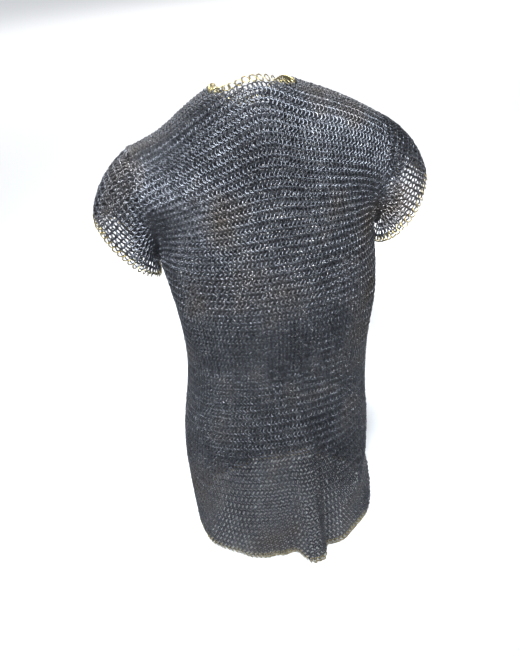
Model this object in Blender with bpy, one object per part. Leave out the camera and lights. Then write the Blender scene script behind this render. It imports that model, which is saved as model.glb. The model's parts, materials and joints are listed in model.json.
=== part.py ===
"""A short-sleeved chainmail vest, worn and filled out, with brass edge rows.

Each panel is a wall of woven mail on one smooth middle surface, and each brass
row is a narrow band on the same surface. The origin lies between the shoulders, just
below the sides of the neck edge. +Z is up, the front faces -Y, and the wearer's left
is +X.
"""

import bpy
import numpy as np

# Driving sizes, in metres
WALL = 0.0045             # woven mail lies three to four wires deep
SEAM_GAP = 0.0003
TRIM_WIDTH = 0.0095       # one row of edge rings

ARMPIT_HEIGHT = -0.232
HEM_HEIGHT = -0.790
SECTION_SQUARENESS = 2.2

CHEST_HALF_WIDTH = 0.178  # across the back, halfway up the armhole
CHEST_SIDE_DEPTH = 0.600  # depth at the armhole, as a share of the depth at the middle
CHEST_FLATNESS = 2.6
ARMHOLE_ROUNDING = 0.40   # share of the armhole's height that its round foot takes
ARMHOLE_EDGE_POWER = 8    # how quickly the panel takes the armhole's shape towards its edge
DOME_SQUARENESS = 2.6
DOME_FULLNESS = 0.85

# The shoulder ridge, carried on over the neck, and the neck opening as seen from above.
# Place 1 is the left armhole. The left shoulder has a hollow beside the arm.
RIDGE_HALF_WIDTH = 0.185
RIDGE_DEPTH = (0.020, 0.005)              # towards the back, at the middle and the armhole
RIDGE_COLUMNS = ("place", "height")
RIDGE_ROWS = (
    (-1.00, -0.059), (-0.75, -0.030), (-0.50, -0.007), (-0.25, 0.016), (0.00, 0.040),
    (0.25, 0.018), (0.50, -0.010), (0.75, -0.041), (1.00, -0.059),
)
NECK_HALF_WIDTH = 0.062
NECK_ROWS = {"back": (0.046, 2.0), "front": (0.113, 2.4)}   # reach from the ridge, squareness
NECK_SHARE = NECK_HALF_WIDTH / RIDGE_HALF_WIDTH

SLEEVE_HEM_CENTRE = (0.215, 0.0, -0.208)
SLEEVE_HEM_ACROSS = 0.066
SLEEVE_HEM_DEEP = 0.067
SLEEVE_HEM_TILT = np.radians(51.0)
SLEEVE_HEM_SLOPE = np.radians(-80.5)

# Torso sections, from the hem up to the armpits. Shift is towards the wearer's left,
# because the hips stand over one leg.
TORSO_COLUMNS = ("height", "half_width", "back_depth", "front_depth", "shift")
TORSO_ROWS = (
    (-0.810, 0.1650, 0.1410, 0.1200, 0.018),
    (-0.690, 0.1630, 0.1445, 0.1190, 0.022),
    (-0.570, 0.1620, 0.1145, 0.1130, 0.016),
    (-0.450, 0.1540, 0.0925, 0.1090, 0.001),
    (-0.330, 0.1620, 0.1095, 0.1180, -0.006),
    (-0.232, 0.1690, 0.1190, 0.1230, 0.000),
)

# The sleeve's slope where it leaves the armhole, in degrees, and its pull on each end
SLEEVE_COLUMNS = ("slope", "start_pull", "end_pull")
SLEEVE_ROWS = {"top": (-30.0, 0.130, 0.120), "under": (-20.0, 0.025, 0.020)}

# Folds: place from the panel's middle and lean are measured along the cloth. A fold of
# power 2 is soft, and one of power 4 has a broad back and steep sides.
FOLD_COLUMNS = ("panel", "place", "lean", "bottom", "top", "half_width", "depth", "power")
FOLD_ROWS = (
    ("back", -0.025, -0.015, -0.870, -0.480, 0.0185, 0.0320, 4),
    ("back", 0.005, -0.015, -0.870, -0.560, 0.0110, -0.0050, 2),
    ("back", -0.082, -0.015, -0.870, -0.600, 0.0240, 0.0080, 2),
    ("back", -0.100, -0.75, -0.740, -0.480, 0.0240, 0.0080, 2),
    ("back", -0.165, -0.90, -0.800, -0.600, 0.0220, 0.0080, 2),
    ("back", 0.070, 0.05, -0.900, -0.640, 0.0340, 0.0060, 2),
    ("back", 0.165, 0.10, -0.900, -0.620, 0.0300, 0.0070, 2),
    ("back", 0.150, 0.45, -0.420, -0.230, 0.0260, 0.0050, 2),
    ("back", -0.150, -0.45, -0.420, -0.230, 0.0260, 0.0050, 2),
    ("front", -0.165, -0.08, -0.900, -0.600, 0.0280, 0.0090, 2),
    ("front", -0.070, 0.00, -0.900, -0.560, 0.0260, 0.0120, 2),
    ("front", 0.030, 0.04, -0.900, -0.620, 0.0260, 0.0100, 2),
    ("front", 0.125, 0.10, -0.900, -0.580, 0.0300, 0.0100, 2),
    ("front", 0.140, 0.50, -0.420, -0.230, 0.0260, 0.0070, 2),
    ("front", -0.140, -0.50, -0.420, -0.230, 0.0260, 0.0070, 2),
)
QUARTER_GIRTH = 0.26      # from the panel's middle to its side seam
FOLD_FOOT = 0.2           # share of a fold's height over which it swells
SEAM_FLAT = 0.12          # share of a panel's width beside each seam where folds die out

# Grid of each panel
LOWER_ROWS = 14
UPPER_ROWS = 12
SHOULDER_STEPS = 9
NECK_STEPS = 16           # columns that end at the neck edge
SLEEVE_ROWS_LONG = 6
FOLD_COLUMN_STEP = 0.0055
FOLD_COLUMNS_REACH = 0.044
LEAST_STEP = 0.0072       # between a plain column and the close ones
DIFFERENCE = 1e-4         # step for slopes of the surface
HALVINGS = 40             # for finding where a column meets the neck edge
HEM_PROBE = 0.02          # step, as a share of a piece's length, that gives its scale at an edge
SHARP_ANGLE = np.radians(50.0)

STEEL = ("blackened_steel", (0.075, 0.078, 0.085, 1.0), 0.42, 0.9)
BRASS = ("brass", (0.55, 0.43, 0.20, 1.0), 0.38, 0.95)


def column(rows, columns, name):
    """One named column of a table as an array."""
    return np.array([row[columns.index(name)] for row in rows])


def smooth(share):
    share = np.clip(share, 0.0, 1.0)
    return share * share * (3.0 - 2.0 * share)


def spline(x, xs, ys):
    """Natural cubic spline through a column of sizes."""
    count = len(xs)
    step = np.diff(xs)
    matrix = np.eye(count)
    right = np.zeros(count)
    for i in range(1, count - 1):
        matrix[i, i - 1:i + 2] = step[i - 1], 2 * (step[i - 1] + step[i]), step[i]
        right[i] = 3 * ((ys[i + 1] - ys[i]) / step[i] - (ys[i] - ys[i - 1]) / step[i - 1])
    bend = np.linalg.solve(matrix, right)
    k = np.clip(np.searchsorted(xs, x) - 1, 0, count - 2)
    t = x - xs[k]
    slope = (ys[k + 1] - ys[k]) / step[k] - step[k] * (2 * bend[k] + bend[k + 1]) / 3
    return ys[k] + slope * t + bend[k] * t ** 2 + (bend[k + 1] - bend[k]) / (3 * step[k]) * t ** 3


def torso_size(name, height):
    heights = column(TORSO_ROWS, TORSO_COLUMNS, "height")
    return spline(height, heights, column(TORSO_ROWS, TORSO_COLUMNS, name))


def facing(panel):
    return 1.0 if panel == "back" else -1.0


def lower_torso(panel, across, height):
    """The section of the torso at a height below the armpits."""
    angle = across * np.pi / 2
    power = 2.0 / SECTION_SQUARENESS
    sine = np.sin(angle)
    x = torso_size("half_width", height) * np.sign(sine) * np.abs(sine) ** power
    x = x + torso_size("shift", height)
    y = facing(panel) * torso_size(panel + "_depth", height) * np.abs(np.cos(angle)) ** power
    return np.stack([x, y, height + 0 * x], axis=-1)


def shoulder_ridge(across):
    """The line over the shoulders, carried on smoothly over the neck."""
    middle, end = RIDGE_DEPTH
    places = column(RIDGE_ROWS, RIDGE_COLUMNS, "place")
    height = spline(across, places, column(RIDGE_ROWS, RIDGE_COLUMNS, "height"))
    return np.stack([RIDGE_HALF_WIDTH * across, middle + (end - middle) * across ** 2, height], -1)


def dome(panel, across, up):
    """The chest or upper back, from the armpit level (up 0) to the ridge (up 1)."""
    foot = lower_torso(panel, across, np.full(across.shape, ARMPIT_HEIGHT))
    top = shoulder_ridge(across)
    depth = torso_size(panel + "_depth", np.array([ARMPIT_HEIGHT]))[0]
    rise = np.clip(up / ARMHOLE_ROUNDING, 0, 1)
    edge = np.abs(across) ** ARMHOLE_EDGE_POWER
    grow = smooth(rise) * (1 - edge) + np.sqrt(1 - (1 - rise) ** 2) * edge
    chest_x = CHEST_HALF_WIDTH * across
    side_depth = 1 - (1 - CHEST_SIDE_DEPTH) * np.abs(across) ** CHEST_FLATNESS
    chest_y = facing(panel) * depth * side_depth
    wall_y = foot[..., 1] + (chest_y - foot[..., 1]) * grow
    inward = np.clip(np.cos(up * np.pi / 2), 0, 1) ** (2.0 / DOME_SQUARENESS)
    upward = np.sin(up * np.pi / 2) ** DOME_FULLNESS
    x = foot[..., 0] + (chest_x - foot[..., 0]) * grow + (top[..., 0] - chest_x) * smooth(up)
    y = top[..., 1] + (wall_y - top[..., 1]) * inward
    z = foot[..., 2] + (top[..., 2] - foot[..., 2]) * upward
    return np.stack([x, y, z], axis=-1)


def column_end(panel, across):
    """How far up each column runs: to the neck edge, or to the ridge beside it."""
    reach, squareness = NECK_ROWS[panel]
    centre = shoulder_ridge(np.array(NECK_SHARE))[1]
    low, high = np.zeros(across.shape), np.ones(across.shape)
    for _ in range(HALVINGS):
        middle = (low + high) / 2
        point = dome(panel, across, middle)
        outside = (np.abs(point[..., 0] / NECK_HALF_WIDTH) ** squareness
                   + np.abs((point[..., 1] - centre) / reach) ** squareness) > 1
        low, high = np.where(outside, middle, low), np.where(outside, high, middle)
    return np.where(np.abs(across) < NECK_SHARE, low, 1.0)


def upper_torso(panel, across, share):
    return dome(panel, across, share * column_end(panel, across))


def plain_panel(panel, across, level):
    """The panel without folds. Level 0 is the hem, 1 the armpit level, 2 the top."""
    across, level = np.broadcast_arrays(across, level)
    height = HEM_HEIGHT + np.clip(level, 0, 1) * (ARMPIT_HEIGHT - HEM_HEIGHT)
    low = lower_torso(panel, across, height)
    high = upper_torso(panel, across, np.clip(level - 1, 0, 1))
    return np.where((level <= 1)[..., None], low, high)


def unit(vectors):
    return vectors / np.maximum(np.linalg.norm(vectors, axis=-1, keepdims=True), 1e-12)


def outward(surface, first, second, low, high):
    """Unit normals of a surface from small steps, kept inside its range."""
    a0, a1 = np.clip(first - DIFFERENCE, *low), np.clip(first + DIFFERENCE, *low)
    b0, b1 = np.clip(second - DIFFERENCE, *high), np.clip(second + DIFFERENCE, *high)
    along = surface(a1, second) - surface(a0, second)
    up = surface(first, b1) - surface(first, b0)
    return unit(np.cross(unit(along), unit(up)))


PANEL_RANGES = ((-1.0, 1.0), (0.0, 2.0))


def fold_height(panel, across, level, height):
    """How far the folds lift the cloth, 0 along the seams and above the chest."""
    place = across * QUARTER_GIRTH
    lift = np.zeros(np.broadcast(across, level).shape)
    for row in FOLD_ROWS:
        fold = dict(zip(FOLD_COLUMNS, row))
        if fold["panel"] != panel:
            continue
        share = np.clip((height - fold["bottom"]) / (fold["top"] - fold["bottom"]), 0, 1)
        strength = smooth(share / FOLD_FOOT) * smooth(1 - share)
        centre = fold["place"] + fold["lean"] * (height - max(fold["bottom"], HEM_HEIGHT))
        reach = np.abs(place - centre) / fold["half_width"]
        lift += fold["depth"] * strength * np.exp(-reach ** fold["power"])
    return lift * smooth((1 - np.abs(across)) / SEAM_FLAT)


def panel_surface(panel):
    """The folded middle surface of a panel."""
    def surface(across, level):
        across, level = np.broadcast_arrays(across, level)
        base = plain_panel(panel, across, level)
        normal = outward(lambda a, b: plain_panel(panel, a, b), across, level, *PANEL_RANGES)
        lift = fold_height(panel, across, level, base[..., 2])
        return base - facing(panel) * normal * lift[..., None]
    return surface


def armhole(turn):
    """The armhole's closed edge: turn 0 at the ridge, 0.5 at the armpit, by the back."""
    ones = np.ones(turn.shape)
    back = panel_surface("back")(ones, 2 - np.clip(2 * turn, 0, 1))
    front = panel_surface("front")(ones, 1 + np.clip(2 * turn - 1, 0, 1))
    return np.where((turn <= 0.5)[..., None], back, front)


def sleeve_surface(turn, out):
    """The left sleeve, from the armhole (out 0) to its hem (out 1)."""
    turn, out = np.broadcast_arrays(turn, out)
    turn = np.mod(turn, 1.0)
    angle = 2 * np.pi * turn
    under = (1 - np.cos(angle)) / 2
    size = {}
    for i, name in enumerate(SLEEVE_COLUMNS):
        size[name] = SLEEVE_ROWS["top"][i] + (SLEEVE_ROWS["under"][i] - SLEEVE_ROWS["top"][i]) * under
    slope = np.radians(size["slope"])
    nothing = np.zeros(turn.shape)
    leave = np.stack([np.cos(slope), nothing, np.sin(slope)], -1) * size["start_pull"][..., None]
    end_way = np.array([np.cos(SLEEVE_HEM_SLOPE), 0.0, np.sin(SLEEVE_HEM_SLOPE)])
    arrive = end_way * size["end_pull"][..., None]
    tilt = np.array([np.cos(SLEEVE_HEM_TILT), 0.0, np.sin(SLEEVE_HEM_TILT)])
    deep = np.array([0.0, 1.0, 0.0])
    hem = (np.array(SLEEVE_HEM_CENTRE) + SLEEVE_HEM_ACROSS * np.cos(angle)[..., None] * tilt
           + SLEEVE_HEM_DEEP * np.sin(angle)[..., None] * deep)
    t = out[..., None]
    return ((2 * t ** 3 - 3 * t ** 2 + 1) * armhole(turn) + (t ** 3 - 2 * t ** 2 + t) * leave
            + (3 * t ** 2 - 2 * t ** 3) * hem + (t ** 3 - t ** 2) * arrive)


def panel_columns(panel):
    """Places across a panel, closer together where the tail fold stands."""
    neck = set(NECK_SHARE * np.sin(np.linspace(-np.pi / 2, np.pi / 2, NECK_STEPS + 1)))
    if panel == "back":
        middle = FOLD_ROWS[0][FOLD_COLUMNS.index("place")] / QUARTER_GIRTH
        reach = FOLD_COLUMNS_REACH / QUARTER_GIRTH
        count = int(round(2 * FOLD_COLUMNS_REACH / FOLD_COLUMN_STEP))
        clear = reach + LEAST_STEP / QUARTER_GIRTH
        close = np.linspace(middle - reach, middle + reach, count + 1)
        close = close[np.abs(close) < NECK_SHARE - LEAST_STEP / QUARTER_GIRTH]
        corners = {-NECK_SHARE, NECK_SHARE}
        neck = {a for a in neck if abs(a - middle) > clear} | set(close) | corners
    outer = np.linspace(NECK_SHARE, 1.0, SHOULDER_STEPS + 1)[1:]
    return np.concatenate([-outer[::-1], sorted(neck), outer])


def trim_level(surface, across):
    """The level that lies one edge row above the hem."""
    length = np.linalg.norm(surface(across, HEM_PROBE) - surface(across, 0.0), axis=-1)
    return HEM_PROBE * TRIM_WIDTH / length


def build_grids():
    """Points and outward normals of the four woven pieces, sharing their seams."""
    grids = {}
    for panel in ("back", "front"):
        across = panel_columns(panel)
        surface = panel_surface(panel)
        start = trim_level(surface, across)
        low = start + (1 - start) * np.linspace(0, 1, LOWER_ROWS + 1)[:, None]
        high = 1 + np.linspace(0, 1, UPPER_ROWS + 1)[1:, None] * np.ones_like(across)
        level = np.concatenate([low, high])
        wide = np.broadcast_to(across, level.shape)
        normal = outward(surface, wide, level, *PANEL_RANGES) * -facing(panel)
        grids[panel] = {"points": surface(wide, level), "normals": normal, "across": across}
    turn = np.linspace(0, 1, 2 * UPPER_ROWS + 1)[:-1]
    length = np.linalg.norm(sleeve_surface(turn, 1.0) - sleeve_surface(turn, 1 - HEM_PROBE), axis=-1)
    end = 1 - HEM_PROBE * TRIM_WIDTH / length
    out = np.linspace(0, 1, SLEEVE_ROWS_LONG + 1)[:, None] * end
    turns = np.broadcast_to(turn, out.shape)
    normal = -outward(sleeve_surface, turns, out, (-1.0, 2.0), (0.0, 1.0))
    grids["sleeve_left"] = {"points": sleeve_surface(turns, out), "normals": normal}
    grids["sleeve_left"]["edge"] = sleeve_surface(turn, 1.0)
    return grids


def share_seams(grids):
    """Give both sides of each seam one normal, so that their rims lie side by side."""
    back, front, sleeve = (grids[name]["normals"] for name in ("back", "front", "sleeve_left"))
    armpit = LOWER_ROWS
    last = armpit + UPPER_ROWS
    for edge in (0, -1):
        side = unit(back[:armpit, edge] + front[:armpit, edge])
        back[:armpit, edge], front[:armpit, edge] = side, side
    ridge = SHOULDER_STEPS + 1
    for part in (slice(1, ridge), slice(-ridge, -1)):
        top = unit(back[last, part] + front[last, part])
        back[last, part], front[last, part] = top, top
    for k in range(2 * UPPER_ROWS):
        rows = [(back, last - k)] if k < UPPER_ROWS else [(front, armpit + k - UPPER_ROWS)]
        if k in (0, UPPER_ROWS):
            rows = [(back, last - k), (front, last - k)]
        body = sum(grid[row, -1] for grid, row in rows)
        shared = unit(unit(body) + sleeve[0, k])
        sleeve[0, k] = shared
        for grid, row in rows:
            grid[row, -1] = shared
            grid[row, 0] = shared * (-1, 1, 1)


def row_way(points, closed):
    """Unit direction along each row of points."""
    if closed:
        return unit(np.roll(points, -1, axis=0) - np.roll(points, 1, axis=0))
    way = np.empty_like(points)
    way[1:-1] = points[2:] - points[:-2]
    way[0], way[-1] = points[1] - points[0], points[-1] - points[-2]
    return unit(way)


def pull_in(points, normals, closed_rows, edges):
    """Move the named edges half a seam gap into the piece."""
    moved = points.copy()
    inner = {"first_row": points[1] - points[0], "last_row": points[-2] - points[-1],
             "first_column": points[:, 1] - points[:, 0], "last_column": points[:, -2] - points[:, -1]}
    place = {"first_row": np.s_[0], "last_row": np.s_[-1],
             "first_column": np.s_[:, 0], "last_column": np.s_[:, -1]}
    for edge in edges:
        at = place[edge]
        closed = closed_rows and edge.endswith("row")
        way = row_way(points[at], closed)
        into = unit(np.cross(normals[at], way))
        sign = np.sign(np.sum(into * inner[edge], axis=-1, keepdims=True))
        moved[at] += into * sign * SEAM_GAP / 2
    return moved


def triangles_of(quads, points):
    """Each four-sided face split along its shorter diagonal."""
    a, b, c, d = (points[quads[:, i]] for i in range(4))
    first = np.linalg.norm(a - c, axis=1) <= np.linalg.norm(b - d, axis=1)
    one = np.where(first[:, None], quads[:, [0, 1, 2]], quads[:, [0, 1, 3]])
    two = np.where(first[:, None], quads[:, [0, 2, 3]], quads[:, [1, 2, 3]])
    return np.concatenate([one, two])


def wall_object(name, points, normals, closed, material, collection, thickness=WALL):
    """A wall of even thickness on a grid of points, lofted into one closed solid."""
    rows, columns = points.shape[:2]
    outer = (points + normals * thickness / 2).reshape(-1, 3)
    inner = (points - normals * thickness / 2).reshape(-1, 3)
    index = np.arange(rows * columns).reshape(rows, columns)
    if closed:
        index = np.concatenate([index, index[:, :1]], axis=1)
    offset = rows * columns
    quads = np.stack([index[:-1, :-1], index[:-1, 1:], index[1:, 1:], index[1:, :-1]], -1).reshape(-1, 4)
    rims = [index[0], index[-1][::-1]]
    if not closed:
        rims += [index[:, -1], index[::-1, 0]]
    rim_quads = [np.stack([rim[1:], rim[:-1], rim[:-1] + offset, rim[1:] + offset], -1) for rim in rims]
    faces = np.concatenate([quads, quads[:, ::-1] + offset] + rim_quads)
    mesh = bpy.data.meshes.new(name)
    corners = np.concatenate([outer, inner])
    mesh.from_pydata(corners.tolist(), [], triangles_of(faces, corners).tolist())
    if signed_volume(mesh) < 0:
        mesh.flip_normals()
    mesh.shade_smooth()
    mesh.set_sharp_from_angle(angle=SHARP_ANGLE)
    mesh.materials.append(material)
    piece = bpy.data.objects.new(name, mesh)
    collection.objects.link(piece)
    return piece


def signed_volume(mesh):
    mesh.calc_loop_triangles()
    total = 0.0
    for triangle in mesh.loop_triangles:
        a, b, c = (mesh.vertices[i].co for i in triangle.vertices)
        total += a.dot(b.cross(c)) / 6
    return total


def make_material(name, colour, roughness, metallic):
    material = bpy.data.materials.new(name)
    material.use_nodes = True
    shader = material.node_tree.nodes["Principled BSDF"]
    shader.inputs["Base Color"].default_value = colour
    shader.inputs["Roughness"].default_value = roughness
    shader.inputs["Metallic"].default_value = metallic
    return material


def band(name, edge, normals, into, material, collection):
    """A closed band one edge row wide, half a seam gap away from the woven edge."""
    along = row_way(edge, True)
    way = unit(np.cross(normals, along))
    way *= np.sign(np.sum(way * into, axis=-1, keepdims=True))
    points = np.stack([edge + way * SEAM_GAP / 2, edge + way * TRIM_WIDTH])
    wall_object(name, points, np.stack([normals, normals]), True, material, collection)


def mirrored(array):
    return array * np.array([-1.0, 1.0, 1.0])


def build_panels(grids, steel, collection):
    for panel in ("back", "front"):
        grid = grids[panel]
        edges = ("first_row", "last_row", "first_column", "last_column")
        points = pull_in(grid["points"], grid["normals"], False, edges)
        wall_object(panel, points, grid["normals"], False, steel, collection)


def build_sleeves(grids, steel, brass, collection):
    grid = grids["sleeve_left"]
    points = pull_in(grid["points"], grid["normals"], True, ("first_row", "last_row"))
    into = grid["edge"] - grid["points"][-1]
    for side, flip in (("left", lambda array: array), ("right", mirrored)):
        wall_object("sleeve_" + side, flip(points), flip(grid["normals"]), True, steel, collection)
        band("trim_sleeve_" + side, flip(grid["points"][-1]), flip(grid["normals"][-1]), flip(into),
             brass, collection)


def build_hem(grids, brass, collection):
    """The brass row under the back and front hems, as one ring."""
    back, front = grids["back"], grids["front"]
    edge = np.concatenate([back["points"][0], front["points"][0][-2:0:-1]])
    above = np.concatenate([back["points"][1], front["points"][1][-2:0:-1]])
    normals = np.concatenate([back["normals"][0], front["normals"][0][-2:0:-1]])
    band("trim_hem", edge, normals, edge - above, brass, collection)


def build_neck(grids, brass, collection):
    """The brass row inside the neck edge, as one ring."""
    edge, normals = [], []
    for panel, order in (("back", 1), ("front", -1)):
        grid = grids[panel]
        on_neck = np.abs(grid["across"]) < NECK_SHARE + DIFFERENCE
        edge.append(grid["points"][-1][on_neck][::order][:-1])
        normals.append(grid["normals"][-1][on_neck][::order][:-1])
    edge, normals = np.concatenate(edge), np.concatenate(normals)
    band("trim_neck", edge, normals, edge.mean(axis=0) - edge, brass, collection)


def clear_scene():
    for old in list(bpy.data.objects):
        bpy.data.objects.remove(old, do_unlink=True)


def main():
    clear_scene()
    collection = bpy.data.collections.new("chainmail_vest")
    bpy.context.scene.collection.children.link(collection)
    steel = make_material(*STEEL)
    brass = make_material(*BRASS)
    grids = build_grids()
    share_seams(grids)
    build_panels(grids, steel, collection)
    build_sleeves(grids, steel, brass, collection)
    build_hem(grids, brass, collection)
    build_neck(grids, brass, collection)


main()
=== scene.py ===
"""Dressing of the chainmail vest: every wall becomes rows of linked rings.

Each panel's rings lie on the same middle surface as its solid. Rows run round the
garment and lean by turns to one side and the other, so that each ring passes through
two rings of the row above and two of the row below.
"""
import json
from itertools import count

import bpy
import numpy as np
from mathutils import Matrix, Vector

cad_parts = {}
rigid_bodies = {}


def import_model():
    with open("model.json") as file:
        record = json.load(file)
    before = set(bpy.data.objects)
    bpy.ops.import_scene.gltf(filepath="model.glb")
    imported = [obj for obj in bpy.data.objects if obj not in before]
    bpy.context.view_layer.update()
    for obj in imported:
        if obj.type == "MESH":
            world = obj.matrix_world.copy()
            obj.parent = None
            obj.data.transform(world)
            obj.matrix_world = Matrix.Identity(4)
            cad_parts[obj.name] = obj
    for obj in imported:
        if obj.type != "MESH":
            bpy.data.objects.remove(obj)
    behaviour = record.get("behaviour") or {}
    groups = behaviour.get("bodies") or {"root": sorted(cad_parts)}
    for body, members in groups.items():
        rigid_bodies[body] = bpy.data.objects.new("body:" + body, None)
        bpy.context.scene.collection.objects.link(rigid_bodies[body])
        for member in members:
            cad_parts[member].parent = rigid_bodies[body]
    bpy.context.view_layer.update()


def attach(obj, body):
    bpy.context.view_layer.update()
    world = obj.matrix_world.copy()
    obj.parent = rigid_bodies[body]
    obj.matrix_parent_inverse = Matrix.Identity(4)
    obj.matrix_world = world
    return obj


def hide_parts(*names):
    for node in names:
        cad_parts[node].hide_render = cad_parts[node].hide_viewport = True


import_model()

# Sizes of the worn shirt, in metres, as its solids have them
TRIM_WIDTH = 0.0095
ARMPIT_HEIGHT = -0.232
HEM_HEIGHT = -0.790
SECTION_SQUARENESS = 2.2
CHEST_HALF_WIDTH = 0.178
CHEST_SIDE_DEPTH = 0.600
CHEST_FLATNESS = 2.6
ARMHOLE_ROUNDING = 0.40
ARMHOLE_EDGE_POWER = 8
DOME_SQUARENESS = 2.6
DOME_FULLNESS = 0.85
RIDGE_HALF_WIDTH = 0.185
RIDGE_DEPTH = (0.020, 0.005)
RIDGE_COLUMNS = ("place", "height")
RIDGE_ROWS = (
    (-1.00, -0.059), (-0.75, -0.030), (-0.50, -0.007), (-0.25, 0.016), (0.00, 0.040),
    (0.25, 0.018), (0.50, -0.010), (0.75, -0.041), (1.00, -0.059),
)
NECK_HALF_WIDTH = 0.062
NECK_ROWS = {"back": (0.046, 2.0), "front": (0.113, 2.4)}   # reach from the ridge, squareness
NECK_SHARE = NECK_HALF_WIDTH / RIDGE_HALF_WIDTH
SLEEVE_HEM_CENTRE = (0.215, 0.0, -0.208)
SLEEVE_HEM_ACROSS = 0.066
SLEEVE_HEM_DEEP = 0.067
SLEEVE_HEM_TILT = np.radians(51.0)
SLEEVE_HEM_SLOPE = np.radians(-80.5)
TORSO_COLUMNS = ("height", "half_width", "back_depth", "front_depth", "shift")
TORSO_ROWS = (
    (-0.810, 0.1650, 0.1410, 0.1200, 0.018),
    (-0.690, 0.1630, 0.1445, 0.1190, 0.022),
    (-0.570, 0.1620, 0.1145, 0.1130, 0.016),
    (-0.450, 0.1540, 0.0925, 0.1090, 0.001),
    (-0.330, 0.1620, 0.1095, 0.1180, -0.006),
    (-0.232, 0.1690, 0.1190, 0.1230, 0.000),
)
SLEEVE_COLUMNS = ("slope", "start_pull", "end_pull")
SLEEVE_ROWS = {"top": (-30.0, 0.130, 0.120), "under": (-20.0, 0.025, 0.020)}
FOLD_COLUMNS = ("panel", "place", "lean", "bottom", "top", "half_width", "depth", "power")
FOLD_ROWS = (
    ("back", -0.025, -0.015, -0.870, -0.480, 0.0185, 0.0320, 4),
    ("back", 0.005, -0.015, -0.870, -0.560, 0.0110, -0.0050, 2),
    ("back", -0.082, -0.015, -0.870, -0.600, 0.0240, 0.0080, 2),
    ("back", -0.100, -0.75, -0.740, -0.480, 0.0240, 0.0080, 2),
    ("back", -0.165, -0.90, -0.800, -0.600, 0.0220, 0.0080, 2),
    ("back", 0.070, 0.05, -0.900, -0.640, 0.0340, 0.0060, 2),
    ("back", 0.165, 0.10, -0.900, -0.620, 0.0300, 0.0070, 2),
    ("back", 0.150, 0.45, -0.420, -0.230, 0.0260, 0.0050, 2),
    ("back", -0.150, -0.45, -0.420, -0.230, 0.0260, 0.0050, 2),
    ("front", -0.165, -0.08, -0.900, -0.600, 0.0280, 0.0090, 2),
    ("front", -0.070, 0.00, -0.900, -0.560, 0.0260, 0.0120, 2),
    ("front", 0.030, 0.04, -0.900, -0.620, 0.0260, 0.0100, 2),
    ("front", 0.125, 0.10, -0.900, -0.580, 0.0300, 0.0100, 2),
    ("front", 0.140, 0.50, -0.420, -0.230, 0.0260, 0.0070, 2),
    ("front", -0.140, -0.50, -0.420, -0.230, 0.0260, 0.0070, 2),
)
QUARTER_GIRTH = 0.26
FOLD_FOOT = 0.2
SEAM_FLAT = 0.12
DIFFERENCE = 1e-4         # step in a surface's own coordinates for its slopes
HALVINGS = 40             # steps in which a neck edge is found
SMALLEST = 1e-12          # the least that a direction is divided by
PANEL_RANGES = ((-1.0, 1.0), (0.0, 2.0))    # of the places across a panel and its levels
SLEEVE_RANGES = ((-1.0, 2.0), (0.0, 1.0))   # of the turns round a sleeve and the way out

# Finer creases, only on the rings, in the same columns as the folds
CREASE_ROWS = (
    ("back", -0.012, 0.10, -0.560, -0.200, 0.0070, -0.0030, 2),
    ("back", 0.016, 0.06, -0.520, -0.160, 0.0060, -0.0022, 2),
    ("back", -0.040, 0.12, -0.500, -0.240, 0.0080, -0.0026, 2),
    ("back", 0.060, 0.15, -0.600, -0.330, 0.0090, -0.0024, 2),
    ("back", -0.120, -0.55, -0.700, -0.540, 0.0100, -0.0040, 2),
    ("back", -0.078, -0.60, -0.660, -0.500, 0.0090, -0.0034, 2),
    ("back", -0.150, 0.35, -0.560, -0.400, 0.0100, -0.0030, 2),
    ("back", 0.140, -0.40, -0.560, -0.420, 0.0110, -0.0030, 2),
    ("back", 0.105, 0.06, -0.860, -0.660, 0.0100, -0.0032, 2),
    ("back", 0.035, 0.02, -0.860, -0.620, 0.0090, -0.0030, 2),
    ("front", 0.000, 0.05, -0.600, -0.260, 0.0090, -0.0028, 2),
    ("front", 0.060, -0.08, -0.560, -0.300, 0.0080, -0.0030, 2),
    ("front", -0.055, 0.10, -0.540, -0.250, 0.0080, -0.0026, 2),
    ("front", 0.120, -0.50, -0.620, -0.440, 0.0110, -0.0036, 2),
    ("front", -0.130, 0.45, -0.600, -0.430, 0.0100, -0.0034, 2),
    ("front", -0.020, 0.02, -0.860, -0.640, 0.0100, -0.0036, 2),
    ("front", 0.080, 0.03, -0.860, -0.600, 0.0110, -0.0034, 2),
)

# Rings
RING_INNER = 0.0090       # inner width of a ring
WIRE_WIDE = 0.0021        # its wire, from the inside of the ring to the outside
WIRE_DEEP = 0.0013        # its wire, from one face of the ring to the other
RING_SEGMENTS = 9
WIRE_SEGMENTS = 3
RING_FACES = RING_SEGMENTS * WIRE_SEGMENTS
RINGS_ACROSS = 68         # in each row of a panel
ROW_STEP = 0.0068         # between the rows up to the armpits
UPPER_ROW_STEP = 0.0075   # between the rows above them, in the middle
SLEEVE_RINGS = 44
SLEEVE_ROW_STEP = 0.0065
NECK_RINGS = 46
NECK_STEPS = 16           # places on each half of the neck edge, as in the solids
NECK_EDGE = 0.0022        # from the neck edge to the nearest steel rings
# Degrees that rings lean to the side, by turns, and out at the top
LEANS = {
    "lower": (31.0, 2.0), "upper": (26.0, 0.0), "sleeve": (24.0, 0.0), "hem": (34.0, 6.0),
}
BLEND_ROWS = 12           # on each side of the armpit level, where the upper lean takes over
LOOSE_LEAN = 1.6          # uneven lean of single rings, in degrees
LOOSE_PLACE = 0.0002      # uneven place of single rings
EDGE_ROW = 0.0025         # from the armhole to the last row of a sleeve
FINE_ACROSS = 241         # fine grid on which rows are spaced out
FINE_UP = 121
UV_MARGIN = 0.1           # round each ring's share of its place in the UV map
BRASS_ROW = -1            # the row at the hem; the steel rows count up from 0
LOOSE_SEED = 11
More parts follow.
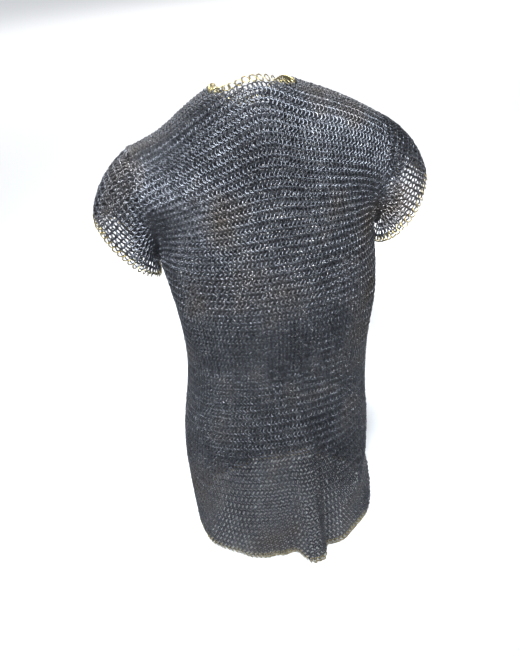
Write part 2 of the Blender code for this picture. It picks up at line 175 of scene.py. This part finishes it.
# The brass rows that hang on each woven piece
EDGES = {
    "rings_back_hips": ("rings_trim_hem",),
    "rings_back_shoulders": ("rings_trim_neck",),
    "rings_sleeve_left": ("rings_trim_sleeve_left",),
    "rings_sleeve_right": ("rings_trim_sleeve_right",),
}

# Metals. Three noises make the tone of single rings, wide patches and the grain.
NOISE_COLUMNS = ("scale", "detail", "roughness")
NOISE_ROWS = {"single": (160.0, 2.0, 0.6), "wide": (9.0, 3.0, 0.55), "grain": (1400.0, 2.0, 0.5)}
TONE_SHARE = 0.5          # of each of the first two noises
TONE_STOPS = (0.36, 0.50, 0.66)   # where the metal is dark, middle and light
STAIN_RANGE = (0.52, 0.70)        # of the wide noise, from clean to stained
GRAIN_STRENGTH, GRAIN_DEPTH = 0.15, 0.0002
METAL_COLUMNS = ("dark", "middle", "light", "stain", "roughness")
METAL_ROWS = {
    "blackened_steel": ((0.030, 0.032, 0.037), (0.065, 0.069, 0.079), (0.16, 0.168, 0.186),
                        (0.070, 0.062, 0.058), (0.36, 0.54)),
    "brass": ((0.15, 0.122, 0.05), (0.30, 0.25, 0.115), (0.52, 0.44, 0.22),
              (0.30, 0.23, 0.12), (0.24, 0.44)),
}

# Studio
FLOOR_SIZE = 60.0
FLOOR_HEIGHT = -0.7955    # just under the hem
FLOOR_COLOUR = (0.50, 0.505, 0.51)
FLOOR_ROUGHNESS = 0.9
SKY_STOPS = (             # sine of the height above the horizon, and the colour there
    (0.0, (0.63, 0.635, 0.64)), (0.22, (0.42, 0.43, 0.45)), (0.6, (0.16, 0.17, 0.19)),
)
# The sun stands high above the back, so that the shirt hides most of its shadow
SUN_PLACE = (0.10, 0.80, 2.6)
SUN_STRENGTH = 3.6
SUN_WIDTH = np.radians(9.0)
SUN_COLOUR = (0.97, 0.98, 1.0)
# Soft lights: sizes in metres, powers in watts and spreads in degrees
LIGHT_COLUMNS = ("name", "place", "target", "size", "power", "spread", "colour")
LIGHT_ROWS = (
    ("light_key", (0.3, 1.3, 1.1), (0, 0, -0.05), (0.7, 0.5), 20.0, 50.0, (0.90, 0.95, 1.0)),
    ("light_front", (-1.0, -7.0, 3.5), (0, -3.0, -0.8), (5.0, 3.0), 360.0, 180.0,
     (1.0, 0.99, 0.97)),
    ("light_left", (2.2, 1.4, 0.3), (0, 0, -0.4), (0.7, 1.2), 22.0, 180.0, (1.0, 0.98, 0.96)),
    ("light_right", (-2.2, 1.4, 0.8), (0, 0, -0.4), (0.7, 1.2), 12.0, 180.0, (0.95, 0.97, 1.0)),
)
CAMERA_PLACE = (0.1356, 1.0475, 0.2303)
CAMERA_YAW, CAMERA_PITCH, CAMERA_ROLL = np.radians((-5.9985, 30.4449, -6.4589))
CAMERA_FOCUS = 717.84     # focal length in pixels of the photo's frame
PHOTO_HEIGHT = 650        # its longer side, in pixels
SENSOR_WIDTH = 36.0

rng = np.random.default_rng(LOOSE_SEED)


def column(rows, columns, name):
    """One column of a table of sizes."""
    return np.array([row[columns.index(name)] for row in rows])


def smooth(share):
    """A share from 0 to 1 that starts and ends softly."""
    share = np.clip(share, 0.0, 1.0)
    return share * share * (3.0 - 2.0 * share)


def spline(x, xs, ys):
    """Natural cubic spline through a column of sizes."""
    step = np.diff(xs)
    matrix = np.eye(len(xs))
    right = np.zeros(len(xs))
    for i in range(1, len(xs) - 1):
        matrix[i, i - 1:i + 2] = step[i - 1], 2 * (step[i - 1] + step[i]), step[i]
        right[i] = 3 * ((ys[i + 1] - ys[i]) / step[i] - (ys[i] - ys[i - 1]) / step[i - 1])
    bend = np.linalg.solve(matrix, right)
    k = np.clip(np.searchsorted(xs, x) - 1, 0, len(xs) - 2)
    t = x - xs[k]
    slope = (ys[k + 1] - ys[k]) / step[k] - step[k] * (2 * bend[k] + bend[k + 1]) / 3
    return ys[k] + slope * t + bend[k] * t ** 2 + (bend[k + 1] - bend[k]) / (3 * step[k]) * t ** 3


def torso_size(name, height):
    """A size of the torso's sections at a height below the armpits."""
    heights = column(TORSO_ROWS, TORSO_COLUMNS, "height")
    return spline(height, heights, column(TORSO_ROWS, TORSO_COLUMNS, name))


def facing(panel):
    """The side of the wearer, along y, on which a panel lies."""
    return 1.0 if panel == "back" else -1.0


def lower_torso(panel, across, height):
    """A panel below the armpits, from the right side seam (across -1) to the left (1)."""
    angle = across * np.pi / 2
    power = 2.0 / SECTION_SQUARENESS
    sine = np.sin(angle)
    x = torso_size("half_width", height) * np.sign(sine) * np.abs(sine) ** power
    x = x + torso_size("shift", height)
    y = facing(panel) * torso_size(panel + "_depth", height) * np.abs(np.cos(angle)) ** power
    return np.stack([x, y, height + 0 * x], axis=-1)


def shoulder_ridge(across):
    """The line over the shoulders where the back and the front meet."""
    middle, end = RIDGE_DEPTH
    places = column(RIDGE_ROWS, RIDGE_COLUMNS, "place")
    height = spline(across, places, column(RIDGE_ROWS, RIDGE_COLUMNS, "height"))
    return np.stack([RIDGE_HALF_WIDTH * across, middle + (end - middle) * across ** 2, height], -1)


def dome(panel, across, up):
    """The chest or upper back, from the armpit level (up 0) to the ridge (up 1)."""
    foot = lower_torso(panel, across, np.full(across.shape, ARMPIT_HEIGHT))
    top = shoulder_ridge(across)
    depth = torso_size(panel + "_depth", np.array([ARMPIT_HEIGHT]))[0]
    rise = np.clip(up / ARMHOLE_ROUNDING, 0, 1)
    edge = np.abs(across) ** ARMHOLE_EDGE_POWER
    grow = smooth(rise) * (1 - edge) + np.sqrt(1 - (1 - rise) ** 2) * edge
    chest_x = CHEST_HALF_WIDTH * across
    side_depth = 1 - (1 - CHEST_SIDE_DEPTH) * np.abs(across) ** CHEST_FLATNESS
    chest_y = facing(panel) * depth * side_depth
    wall_y = foot[..., 1] + (chest_y - foot[..., 1]) * grow
    inward = np.clip(np.cos(up * np.pi / 2), 0, 1) ** (2.0 / DOME_SQUARENESS)
    upward = np.sin(up * np.pi / 2) ** DOME_FULLNESS
    x = foot[..., 0] + (chest_x - foot[..., 0]) * grow + (top[..., 0] - chest_x) * smooth(up)
    y = top[..., 1] + (wall_y - top[..., 1]) * inward
    z = foot[..., 2] + (top[..., 2] - foot[..., 2]) * upward
    return np.stack([x, y, z], axis=-1)


def column_end(panel, across):
    """How far up each column runs: to the neck edge, or to the ridge beside it."""
    reach, squareness = NECK_ROWS[panel]
    centre = shoulder_ridge(np.array(NECK_SHARE))[1]
    low, high = np.zeros(across.shape), np.ones(across.shape)
    for _ in range(HALVINGS):
        middle = (low + high) / 2
        point = dome(panel, across, middle)
        outside = (np.abs(point[..., 0] / NECK_HALF_WIDTH) ** squareness
                   + np.abs((point[..., 1] - centre) / reach) ** squareness) > 1
        low, high = np.where(outside, middle, low), np.where(outside, high, middle)
    return np.where(np.abs(across) < NECK_SHARE, low, 1.0)


def plain_panel(panel, across, level):
    """The panel without folds. Level 0 is the hem, 1 the armpit level, 2 the ridge."""
    across, level = np.broadcast_arrays(across, level)
    height = HEM_HEIGHT + np.clip(level, 0, 1) * (ARMPIT_HEIGHT - HEM_HEIGHT)
    low = lower_torso(panel, across, height)
    if level.max() <= 1:
        return low
    high = dome(panel, across, np.clip(level - 1, 0, 1))
    return np.where((level <= 1)[..., None], low, high)


def unit(vectors):
    """Vectors brought to length 1."""
    return vectors / np.maximum(np.linalg.norm(vectors, axis=-1, keepdims=True), SMALLEST)


def slopes(surface, first, second, first_range, second_range):
    """Unit direction of a surface along its first coordinate, and its unit normal."""
    a0, a1 = np.clip(first - DIFFERENCE, *first_range), np.clip(first + DIFFERENCE, *first_range)
    b0, b1 = (np.clip(second - DIFFERENCE, *second_range),
              np.clip(second + DIFFERENCE, *second_range))
    along = unit(surface(a1, second) - surface(a0, second))
    up = unit(surface(first, b1) - surface(first, b0))
    return along, unit(np.cross(along, up))


def fold_height(panel, across, level, height):
    """How far folds and creases lift a panel off its plain form."""
    place = across * QUARTER_GIRTH
    lift = np.zeros(np.broadcast(across, level).shape)
    for row in FOLD_ROWS + CREASE_ROWS:
        fold = dict(zip(FOLD_COLUMNS, row))
        if fold["panel"] != panel:
            continue
        share = np.clip((height - fold["bottom"]) / (fold["top"] - fold["bottom"]), 0, 1)
        strength = smooth(share / FOLD_FOOT) * smooth(1 - share)
        centre = fold["place"] + fold["lean"] * (height - max(fold["bottom"], HEM_HEIGHT))
        reach = np.abs(place - centre) / fold["half_width"]
        lift += fold["depth"] * strength * np.exp(-reach ** fold["power"])
    return lift * smooth((1 - np.abs(across)) / SEAM_FLAT)


def panel_surface(panel):
    """The panel's middle surface with its folds, as a function of across and level."""
    def surface(across, level):
        across, level = np.broadcast_arrays(across, level)
        base = plain_panel(panel, across, level)
        _, normal = slopes(lambda a, b: plain_panel(panel, a, b), across, level, *PANEL_RANGES)
        lift = fold_height(panel, across, level, base[..., 2])
        return base - facing(panel) * normal * lift[..., None]
    return surface


def armhole(turn):
    """The armhole's closed edge: turn 0 at the ridge, 0.5 at the armpit, by the back."""
    ones = np.ones(turn.shape)
    back = panel_surface("back")(ones, 2 - np.clip(2 * turn, 0, 1))
    front = panel_surface("front")(ones, 1 + np.clip(2 * turn - 1, 0, 1))
    return np.where((turn <= 0.5)[..., None], back, front)


def sleeve_surface(turn, out):
    """The left sleeve, from the armhole (out 0) to its hem (out 1)."""
    turn, out = np.broadcast_arrays(turn, out)
    turn = np.mod(turn, 1.0)
    angle = 2 * np.pi * turn
    under = (1 - np.cos(angle)) / 2
    size = {}
    for i, name in enumerate(SLEEVE_COLUMNS):
        at_top, at_bottom = SLEEVE_ROWS["top"][i], SLEEVE_ROWS["under"][i]
        size[name] = at_top + (at_bottom - at_top) * under
    slope = np.radians(size["slope"])
    nothing = np.zeros(turn.shape)
    leave = np.stack([np.cos(slope), nothing, np.sin(slope)], -1) * size["start_pull"][..., None]
    end_way = np.array([np.cos(SLEEVE_HEM_SLOPE), 0.0, np.sin(SLEEVE_HEM_SLOPE)])
    arrive = end_way * size["end_pull"][..., None]
    tilt = np.array([np.cos(SLEEVE_HEM_TILT), 0.0, np.sin(SLEEVE_HEM_TILT)])
    deep = np.array([0.0, 1.0, 0.0])
    hem = (np.array(SLEEVE_HEM_CENTRE) + SLEEVE_HEM_ACROSS * np.cos(angle)[..., None] * tilt
           + SLEEVE_HEM_DEEP * np.sin(angle)[..., None] * deep)
    t = out[..., None]
    return ((2 * t ** 3 - 3 * t ** 2 + 1) * armhole(turn) + (t ** 3 - 2 * t ** 2 + t) * leave
            + (3 * t ** 2 - 2 * t ** 3) * hem + (t ** 3 - t ** 2) * arrive)


def run_length(points, axis):
    """Distance along a line of points from its first one."""
    step = np.linalg.norm(np.diff(points, axis=axis), axis=-1)
    start = np.zeros_like(np.take(step, [0], axis=axis))
    return np.concatenate([start, np.cumsum(step, axis=axis)], axis=axis)


def where_climbed(distances, climb, places):
    """The place in each column where its climb reaches that column's distance."""
    return np.array([np.interp(distances[i], climb[:, i], places) for i in range(climb.shape[1])])


def row_shares(row, ends):
    """Places of a row's rings along it, as shares.

    Every second row is half a ring over, with a ring on each seam where ends is true.
    """
    if row % 2 == 0:
        return (np.arange(RINGS_ACROSS) + 0.5) / RINGS_ACROSS
    shares = np.arange(RINGS_ACROSS + 1) / RINGS_ACROSS
    return shares if ends else shares[1:-1]


def place_row(surface, across, level, shares):
    """Points at even distances along one row that runs through the fine places."""
    length = run_length(surface(across, level), 0)
    at = np.interp(shares * length[-1], length, across)
    return at, np.interp(at, across, level)


def outside_neck(panel, points):
    """Which points lie far enough outside the neck edge for a steel ring."""
    reach, squareness = NECK_ROWS[panel]
    centre = shoulder_ridge(np.array(NECK_SHARE))[1]
    rim = (np.abs(points[:, 0] / (NECK_HALF_WIDTH + NECK_EDGE)) ** squareness
           + np.abs((points[:, 1] - centre) / (reach + NECK_EDGE)) ** squareness)
    return (rim > 1) | (points[:, 2] < ARMPIT_HEIGHT)


def panel_rings(panel):
    """Centres, directions and rows of a panel's rings, from the brass row at the hem up."""
    surface = panel_surface(panel)
    fine = np.linspace(-1, 1, FINE_ACROSS)
    low_height = ARMPIT_HEIGHT - HEM_HEIGHT
    low_count = int(round((low_height - TRIM_WIDTH / 2) / ROW_STEP - 0.5))
    low_step = (low_height - TRIM_WIDTH / 2) / (low_count + 0.5)
    low_levels = (TRIM_WIDTH / 2 + low_step * np.arange(low_count + 1)) / low_height
    ups = np.linspace(1, 2, FINE_UP)[:, None]
    climb = run_length(surface(fine, ups + 0 * fine), 0)
    whole = climb[-1]
    high_count = int(round(whole[FINE_ACROSS // 2] / UPPER_ROW_STEP))
    high_count += (high_count + low_count) % 2    # both panels end alike at the ridge
    steps = ROW_STEP + (UPPER_ROW_STEP - ROW_STEP) * smooth(np.arange(high_count) / BLEND_ROWS)
    high_shares = (np.cumsum(steps) - steps / 2) / steps.sum()
    ats, levels, rows = [], [], []
    for row in range(BRASS_ROW, low_count + high_count):
        if row < low_count:
            level = np.full(fine.shape, low_levels[row - BRASS_ROW])
        else:
            level = where_climbed(high_shares[row - low_count] * whole, climb, ups[:, 0])
        on_seam = panel == "back" or row >= low_count    # the side seams' rings are the back's
        at, level = place_row(surface, fine, level, row_shares(row, on_seam))
        ats.append(at)
        levels.append(level)
        rows.append(np.full(at.shape, row))
    at, level, row = (np.concatenate(part) for part in (ats, levels, rows))
    kept = outside_neck(panel, surface(at, level))
    at, level, row = at[kept], level[kept], row[kept]
    along, normal = slopes(surface, at, level, *PANEL_RANGES)
    return {"centres": surface(at, level), "along": facing(panel) * along,
            "normal": -facing(panel) * normal, "row": row, "low_count": low_count}


def sleeve_rings():
    """Centres, directions and rows of the left sleeve's rings, from its brass row inwards."""
    fine_turn = np.linspace(0, 1, FINE_ACROSS)
    hem_length = run_length(sleeve_surface(fine_turn, 1.0), 0)
    outs = np.linspace(1, 0, FINE_UP)
    centres, alongs, normals, rows = [], [], [], []
    for row in count(BRASS_ROW):
        shares = (np.arange(SLEEVE_RINGS) + 0.5 * (row % 2)) / SLEEVE_RINGS
        turn = np.interp(shares * hem_length[-1], hem_length, fine_turn)
        climb = run_length(sleeve_surface(turn[None, :], outs[:, None]), 0)
        distance = TRIM_WIDTH / 2 + (row - BRASS_ROW) * SLEEVE_ROW_STEP
        inside = climb[-1] - EDGE_ROW > distance    # the way is shorter under the arm
        if not inside.any():
            break
        out = where_climbed(np.full(SLEEVE_RINGS, distance), climb, outs)[inside]
        turn = turn[inside]
        along, normal = slopes(sleeve_surface, turn, out, *SLEEVE_RANGES)
        centres.append(sleeve_surface(turn, out))
        alongs.append(along)
        normals.append(-normal)
        rows.append(np.full(turn.shape, row))
    return {"centres": np.concatenate(centres), "along": np.concatenate(alongs),
            "normal": np.concatenate(normals), "row": np.concatenate(rows)}


def mirrored(rings):
    """The same rings on the other side of the body."""
    flip = np.array([-1.0, 1.0, 1.0])
    return dict(rings, centres=rings["centres"] * flip, along=-rings["along"] * flip,
                normal=rings["normal"] * flip)


def chosen(rings, first, last):
    """The rings of some rows."""
    mask = (rings["row"] >= first) & (rings["row"] <= last)
    return {name: value[mask] for name, value in rings.items() if np.ndim(value)}


def joined(one, other):
    """The rings of two parts taken together."""
    return {name: np.concatenate([one[name], other[name]]) for name in one}


def turned(first, second, degrees):
    """Two directions turned towards each other in their plane."""
    cosine, sine = np.cos(np.radians(degrees))[:, None], np.sin(np.radians(degrees))[:, None]
    return first * cosine + second * sine, second * cosine - first * sine


def body_lay(rings, low_count):
    """Leans of the body's rings, which change softly at the armpit level."""
    share = smooth((rings["row"] - low_count + BLEND_ROWS) / (2 * BLEND_ROWS))
    lower, upper = LEANS["lower"], LEANS["upper"]
    return [lower[i] + (upper[i] - lower[i]) * share for i in range(2)]


def laid(rings, lay):
    """Centres of rings, and their directions across, upright and out of their plane."""
    centres, normal = rings["centres"], rings["normal"]
    along = unit(rings["along"] - normal * np.sum(rings["along"] * normal, -1, keepdims=True))
    up = np.cross(normal, along)
    up *= np.where(up[:, 2:] < 0, -1.0, 1.0)             # always towards the top
    side = np.where(rings["row"] % 2 == 0, 1.0, -1.0)    # rows lean by turns
    loose = rng.normal(size=(len(centres), 2)) * LOOSE_LEAN
    across, face = turned(along, normal, side * (lay[0] + loose[:, 0]))
    upright, face = turned(up, face, lay[1] + loose[:, 1])
    return centres + rng.normal(size=centres.shape) * LOOSE_PLACE, across, upright, face


def ring_points(centres, across, upright, face):
    """Corners of the wire of all rings, ring by ring."""
    t = np.arange(RING_SEGMENTS) * 2 * np.pi / RING_SEGMENTS
    s = np.arange(WIRE_SEGMENTS) * 2 * np.pi / WIRE_SEGMENTS
    radial = across[:, None] * np.cos(t)[:, None] + upright[:, None] * np.sin(t)[:, None]
    reach = RING_INNER / 2 + WIRE_WIDE * (np.cos(s) - np.cos(s).min()) / np.ptp(np.cos(s))
    depth = WIRE_DEEP * np.sin(s) / np.ptp(np.sin(s))
    points = (centres[:, None, None] + radial[:, :, None] * reach[:, None]
              + face[:, None, None] * depth[:, None])
    return points.reshape(-1, 3)


def ring_faces(handed):
    """Corners of all rings' quads, and their UVs. Each ring has a cell of the map."""
    i, j = np.meshgrid(np.arange(RING_SEGMENTS), np.arange(WIRE_SEGMENTS), indexing="ij")
    i2, j2 = (i + 1) % RING_SEGMENTS, (j + 1) % WIRE_SEGMENTS
    quad = np.stack([i * WIRE_SEGMENTS + j, i2 * WIRE_SEGMENTS + j,
                     i2 * WIRE_SEGMENTS + j2, i * WIRE_SEGMENTS + j2], -1).reshape(-1, 4)
    ring = np.arange(len(handed))
    quads = np.where(handed[:, None, None], quad, quad[:, ::-1]) + ring[:, None, None] * RING_FACES
    corner = np.stack([np.stack([i, j], -1), np.stack([i + 1, j], -1),
                       np.stack([i + 1, j + 1], -1), np.stack([i, j + 1], -1)], 2)
    share = corner.reshape(-1, 4, 2) / np.array([RING_SEGMENTS, WIRE_SEGMENTS])
    share = np.where(handed[:, None, None, None], share, share[:, ::-1])
    cells = int(np.ceil(np.sqrt(len(handed))))
    cell = np.stack([ring % cells, ring // cells], -1)
    uvs = (cell[:, None, None] + UV_MARGIN + (1 - 2 * UV_MARGIN) * share) / cells
    return quads.reshape(-1), uvs


def ring_mesh(name, rings, material, slot, lay):
    """All the rings of a piece as one mesh."""
    centres, across, upright, face = laid(rings, lay)
    points = ring_points(centres, across, upright, face)
    loops, uvs = ring_faces(np.sum(np.cross(across, upright) * face, -1) > 0)
    mesh = bpy.data.meshes.new(name)
    mesh.vertices.add(len(points))
    mesh.vertices.foreach_set("co", points.ravel())
    mesh.loops.add(len(loops))
    mesh.loops.foreach_set("vertex_index", loops)
    mesh.polygons.add(len(loops) // 4)
    mesh.polygons.foreach_set("loop_start", np.arange(0, len(loops), 4))
    mesh.update(calc_edges=True)
    mesh.shade_smooth()
    layer = mesh.uv_layers.new(name="OFBake")
    layer.uv.foreach_set("vector", uvs.ravel())
    mesh.materials.append(material)
    piece = bpy.data.objects.new(name, mesh)
    bpy.context.scene.collection.objects.link(piece)
    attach(piece, "root")
    return piece


def node(tree, kind, place, **inputs):
    """A new node at its place in the tree, with some inputs set."""
    made = tree.nodes.new(kind)
    made.location = place
    for name, value in inputs.items():
        made.inputs[name.replace("_", " ")].default_value = value
    return made


def fill_ramp(ramp, stops):
    """Sets a ramp's stops. A new ramp already has the first and the last one."""
    elements = ramp.color_ramp.elements
    elements[0].position = stops[0][0]
    elements[1].position = stops[-1][0]
    for position, _ in stops[1:-1]:
        elements.new(position)
    for element, (_, colour) in zip(elements, stops):
        element.color = (*colour, 1)


def metal(name):
    """Wire with uneven blackening, worn bright patches, stains and a fine grain."""
    look = dict(zip(METAL_COLUMNS, METAL_ROWS[name]))
    material = bpy.data.materials.new(name)
    material.use_nodes = True
    tree = material.node_tree
    link = tree.links.new
    shader = tree.nodes["Principled BSDF"]
    shader.inputs["Metallic"].default_value = 1.0
    place = node(tree, "ShaderNodeTexCoord", (-1200, 0))
    noises = {}
    for i, (kind, row) in enumerate(NOISE_ROWS.items()):
        size = dict(zip(NOISE_COLUMNS, row))
        noises[kind] = node(tree, "ShaderNodeTexNoise", (-1000, 200 - 250 * i), Scale=size["scale"],
                            Detail=size["detail"], Roughness=size["roughness"])
        link(place.outputs["Object"], noises[kind].inputs["Vector"])
    patches = node(tree, "ShaderNodeMath", (-900, -100))
    patches.operation = "MULTIPLY"
    patches.inputs[1].default_value = TONE_SHARE
    link(noises["wide"].outputs["Fac"], patches.inputs[0])
    tone = node(tree, "ShaderNodeMath", (-800, 100))
    tone.operation = "MULTIPLY_ADD"
    tone.inputs[1].default_value = TONE_SHARE
    link(noises["single"].outputs["Fac"], tone.inputs[0])
    link(patches.outputs[0], tone.inputs[2])
    ramp = node(tree, "ShaderNodeValToRGB", (-600, 150))
    fill_ramp(ramp, list(zip(TONE_STOPS, (look["dark"], look["middle"], look["light"]))))
    link(tone.outputs[0], ramp.inputs["Fac"])
    stained = node(tree, "ShaderNodeMapRange", (-600, -150))
    stained.inputs["From Min"].default_value, stained.inputs["From Max"].default_value = STAIN_RANGE
    link(noises["wide"].outputs["Fac"], stained.inputs["Value"])
    colour = node(tree, "ShaderNodeMix", (-350, 150))
    colour.data_type = "RGBA"
    link(stained.outputs["Result"], colour.inputs["Factor"])
    link(ramp.outputs["Color"], colour.inputs["A"])
    colour.inputs["B"].default_value = (*look["stain"], 1)
    link(colour.outputs["Result"], shader.inputs["Base Color"])
    rough = node(tree, "ShaderNodeMapRange", (-350, -100))
    rough.inputs["To Min"].default_value, rough.inputs["To Max"].default_value = look["roughness"]
    link(noises["single"].outputs["Fac"], rough.inputs["Value"])
    link(rough.outputs["Result"], shader.inputs["Roughness"])
    bump = node(tree, "ShaderNodeBump", (-350, -350), Strength=GRAIN_STRENGTH, Distance=GRAIN_DEPTH)
    link(noises["grain"].outputs["Fac"], bump.inputs["Height"])
    link(bump.outputs["Normal"], shader.inputs["Normal"])
    return material


def neck_rings():
    """One row of rings at even distances round the neck, just inside the woven edge."""
    points, normals = [], []
    for panel, order in (("back", 1), ("front", -1)):
        surface = panel_surface(panel)
        fine = NECK_SHARE * np.sin(np.linspace(-np.pi / 2, np.pi / 2, NECK_STEPS + 1))[::order][:-1]
        end = 1 + column_end(panel, fine)
        _, normal = slopes(surface, fine, end, *PANEL_RANGES)
        points.append(surface(fine, end))
        normals.append(-facing(panel) * normal)
    points, normals = np.concatenate(points), np.concatenate(normals)
    along = unit(np.roll(points, -1, axis=0) - np.roll(points, 1, axis=0))
    inward = unit(np.cross(normals, along))
    inward *= np.sign(np.sum(inward * (points.mean(axis=0) - points), -1, keepdims=True))
    line = points + inward * TRIM_WIDTH / 2
    length = run_length(np.concatenate([line, line[:1]]), 0)
    wanted = (np.arange(NECK_RINGS) + 0.5) / NECK_RINGS * length[-1]

    def at_rings(values):
        closed = np.concatenate([values, values[:1]])
        return np.stack([np.interp(wanted, length, closed[:, i]) for i in range(3)], -1)

    return {"centres": at_rings(line), "along": unit(at_rings(along)),
            "normal": unit(at_rings(normals)), "row": np.zeros(NECK_RINGS, int)}


steel = metal("blackened_steel")
brass = metal("brass")

woven, hem_parts = {}, []
for panel in ("back", "front"):
    rings = panel_rings(panel)
    low_count = rings["low_count"]
    cuts = {"hips": (0, low_count // 2 - 1), "waist": (low_count // 2, low_count - 1),
            "shoulders": (low_count, rings["row"].max())}
    for part, (first, last) in cuts.items():
        some = chosen(rings, first, last)
        piece = ring_mesh("rings_" + panel + "_" + part, some, steel, "blackened_steel",
                          body_lay(some, low_count))
        woven[piece] = some
        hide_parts(panel)
    hem_parts.append(chosen(rings, BRASS_ROW, BRASS_ROW))
left = sleeve_rings()
left_steel = chosen(left, 0, left["row"].max())
left_brass = chosen(left, BRASS_ROW, BRASS_ROW)
for node_name, rings, material, slot, lay in (
    ("sleeve_left", left_steel, steel, "blackened_steel", "sleeve"),
    ("sleeve_right", mirrored(left_steel), steel, "blackened_steel", "sleeve"),
    ("trim_hem", joined(*hem_parts), brass, "brass", "hem"),
    ("trim_neck", neck_rings(), brass, "brass", "sleeve"),
    ("trim_sleeve_left", left_brass, brass, "brass", "sleeve"),
    ("trim_sleeve_right", mirrored(left_brass), brass, "brass", "sleeve"),
):
    piece = ring_mesh("rings_" + node_name, rings, material, slot, LEANS[lay])
    if material == steel:
        woven[piece] = rings
    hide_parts(node_name)
for piece, rings in woven.items():
    [bpy.data.objects[name] for name in EDGES.get(piece.name, ())]

# Floor, light and camera
bpy.ops.mesh.primitive_plane_add(size=FLOOR_SIZE, location=(0, 0, FLOOR_HEIGHT))
floor = bpy.context.object
floor.name = "floor"
paint = bpy.data.materials.new("floor_paint")
paint.use_nodes = True
shader = paint.node_tree.nodes["Principled BSDF"]
shader.inputs["Base Color"].default_value = (*FLOOR_COLOUR, 1)
shader.inputs["Roughness"].default_value = FLOOR_ROUGHNESS
floor.data.materials.append(paint)

world = bpy.data.worlds.new("studio")
bpy.context.scene.world = world
world.use_nodes = True
sky = world.node_tree
sky_place = node(sky, "ShaderNodeTexCoord", (-900, 0))
sky_split = node(sky, "ShaderNodeSeparateXYZ", (-700, 0))
sky_ramp = node(sky, "ShaderNodeValToRGB", (-500, 0))
fill_ramp(sky_ramp, SKY_STOPS)
sky.links.new(sky_place.outputs["Generated"], sky_split.inputs[0])
sky.links.new(sky_split.outputs["Z"], sky_ramp.inputs["Fac"])
sky.links.new(sky_ramp.outputs["Color"], sky.nodes["Background"].inputs["Color"])


def lamp(data, place, target):
    """Puts a light in the scene, turned to its target and not to be seen itself."""
    light = bpy.data.objects.new(data.name, data)
    light.location = place
    light.rotation_euler = (Vector(target) - Vector(place)).to_track_quat("-Z", "Y").to_euler()
    light.visible_camera = False
    bpy.context.scene.collection.objects.link(light)


sun = bpy.data.lights.new("light_sun", "SUN")
sun.energy = SUN_STRENGTH
sun.angle = SUN_WIDTH
sun.color = SUN_COLOUR
lamp(sun, SUN_PLACE, (0, 0, 0))
for row in LIGHT_ROWS:
    light = dict(zip(LIGHT_COLUMNS, row))
    data = bpy.data.lights.new(light["name"], "AREA")
    data.shape = "RECTANGLE"
    data.size, data.size_y = light["size"]
    data.energy = light["power"]
    data.color = light["colour"]
    data.spread = np.radians(light["spread"])
    lamp(data, light["place"], light["target"])
bpy.context.scene.view_settings.view_transform = "Standard"

view = np.array([
    np.sin(CAMERA_YAW) * np.cos(CAMERA_PITCH),
    -np.cos(CAMERA_YAW) * np.cos(CAMERA_PITCH),
    -np.sin(CAMERA_PITCH),
])
right = unit(np.cross(view, (0, 0, 1)))
up = np.cross(right, view)
right, up = (np.cos(CAMERA_ROLL) * right + np.sin(CAMERA_ROLL) * up,
             -np.sin(CAMERA_ROLL) * right + np.cos(CAMERA_ROLL) * up)
camera_data = bpy.data.cameras.new("camera")
camera_data.sensor_width = SENSOR_WIDTH
camera_data.lens = CAMERA_FOCUS / PHOTO_HEIGHT * SENSOR_WIDTH
camera = bpy.data.objects.new("camera", camera_data)
turning = Matrix(np.stack([right, up, -view], 1).tolist())
camera.matrix_world = Matrix.Translation(CAMERA_PLACE) @ turning.to_4x4()
bpy.context.scene.collection.objects.link(camera)
bpy.context.scene.camera = camera
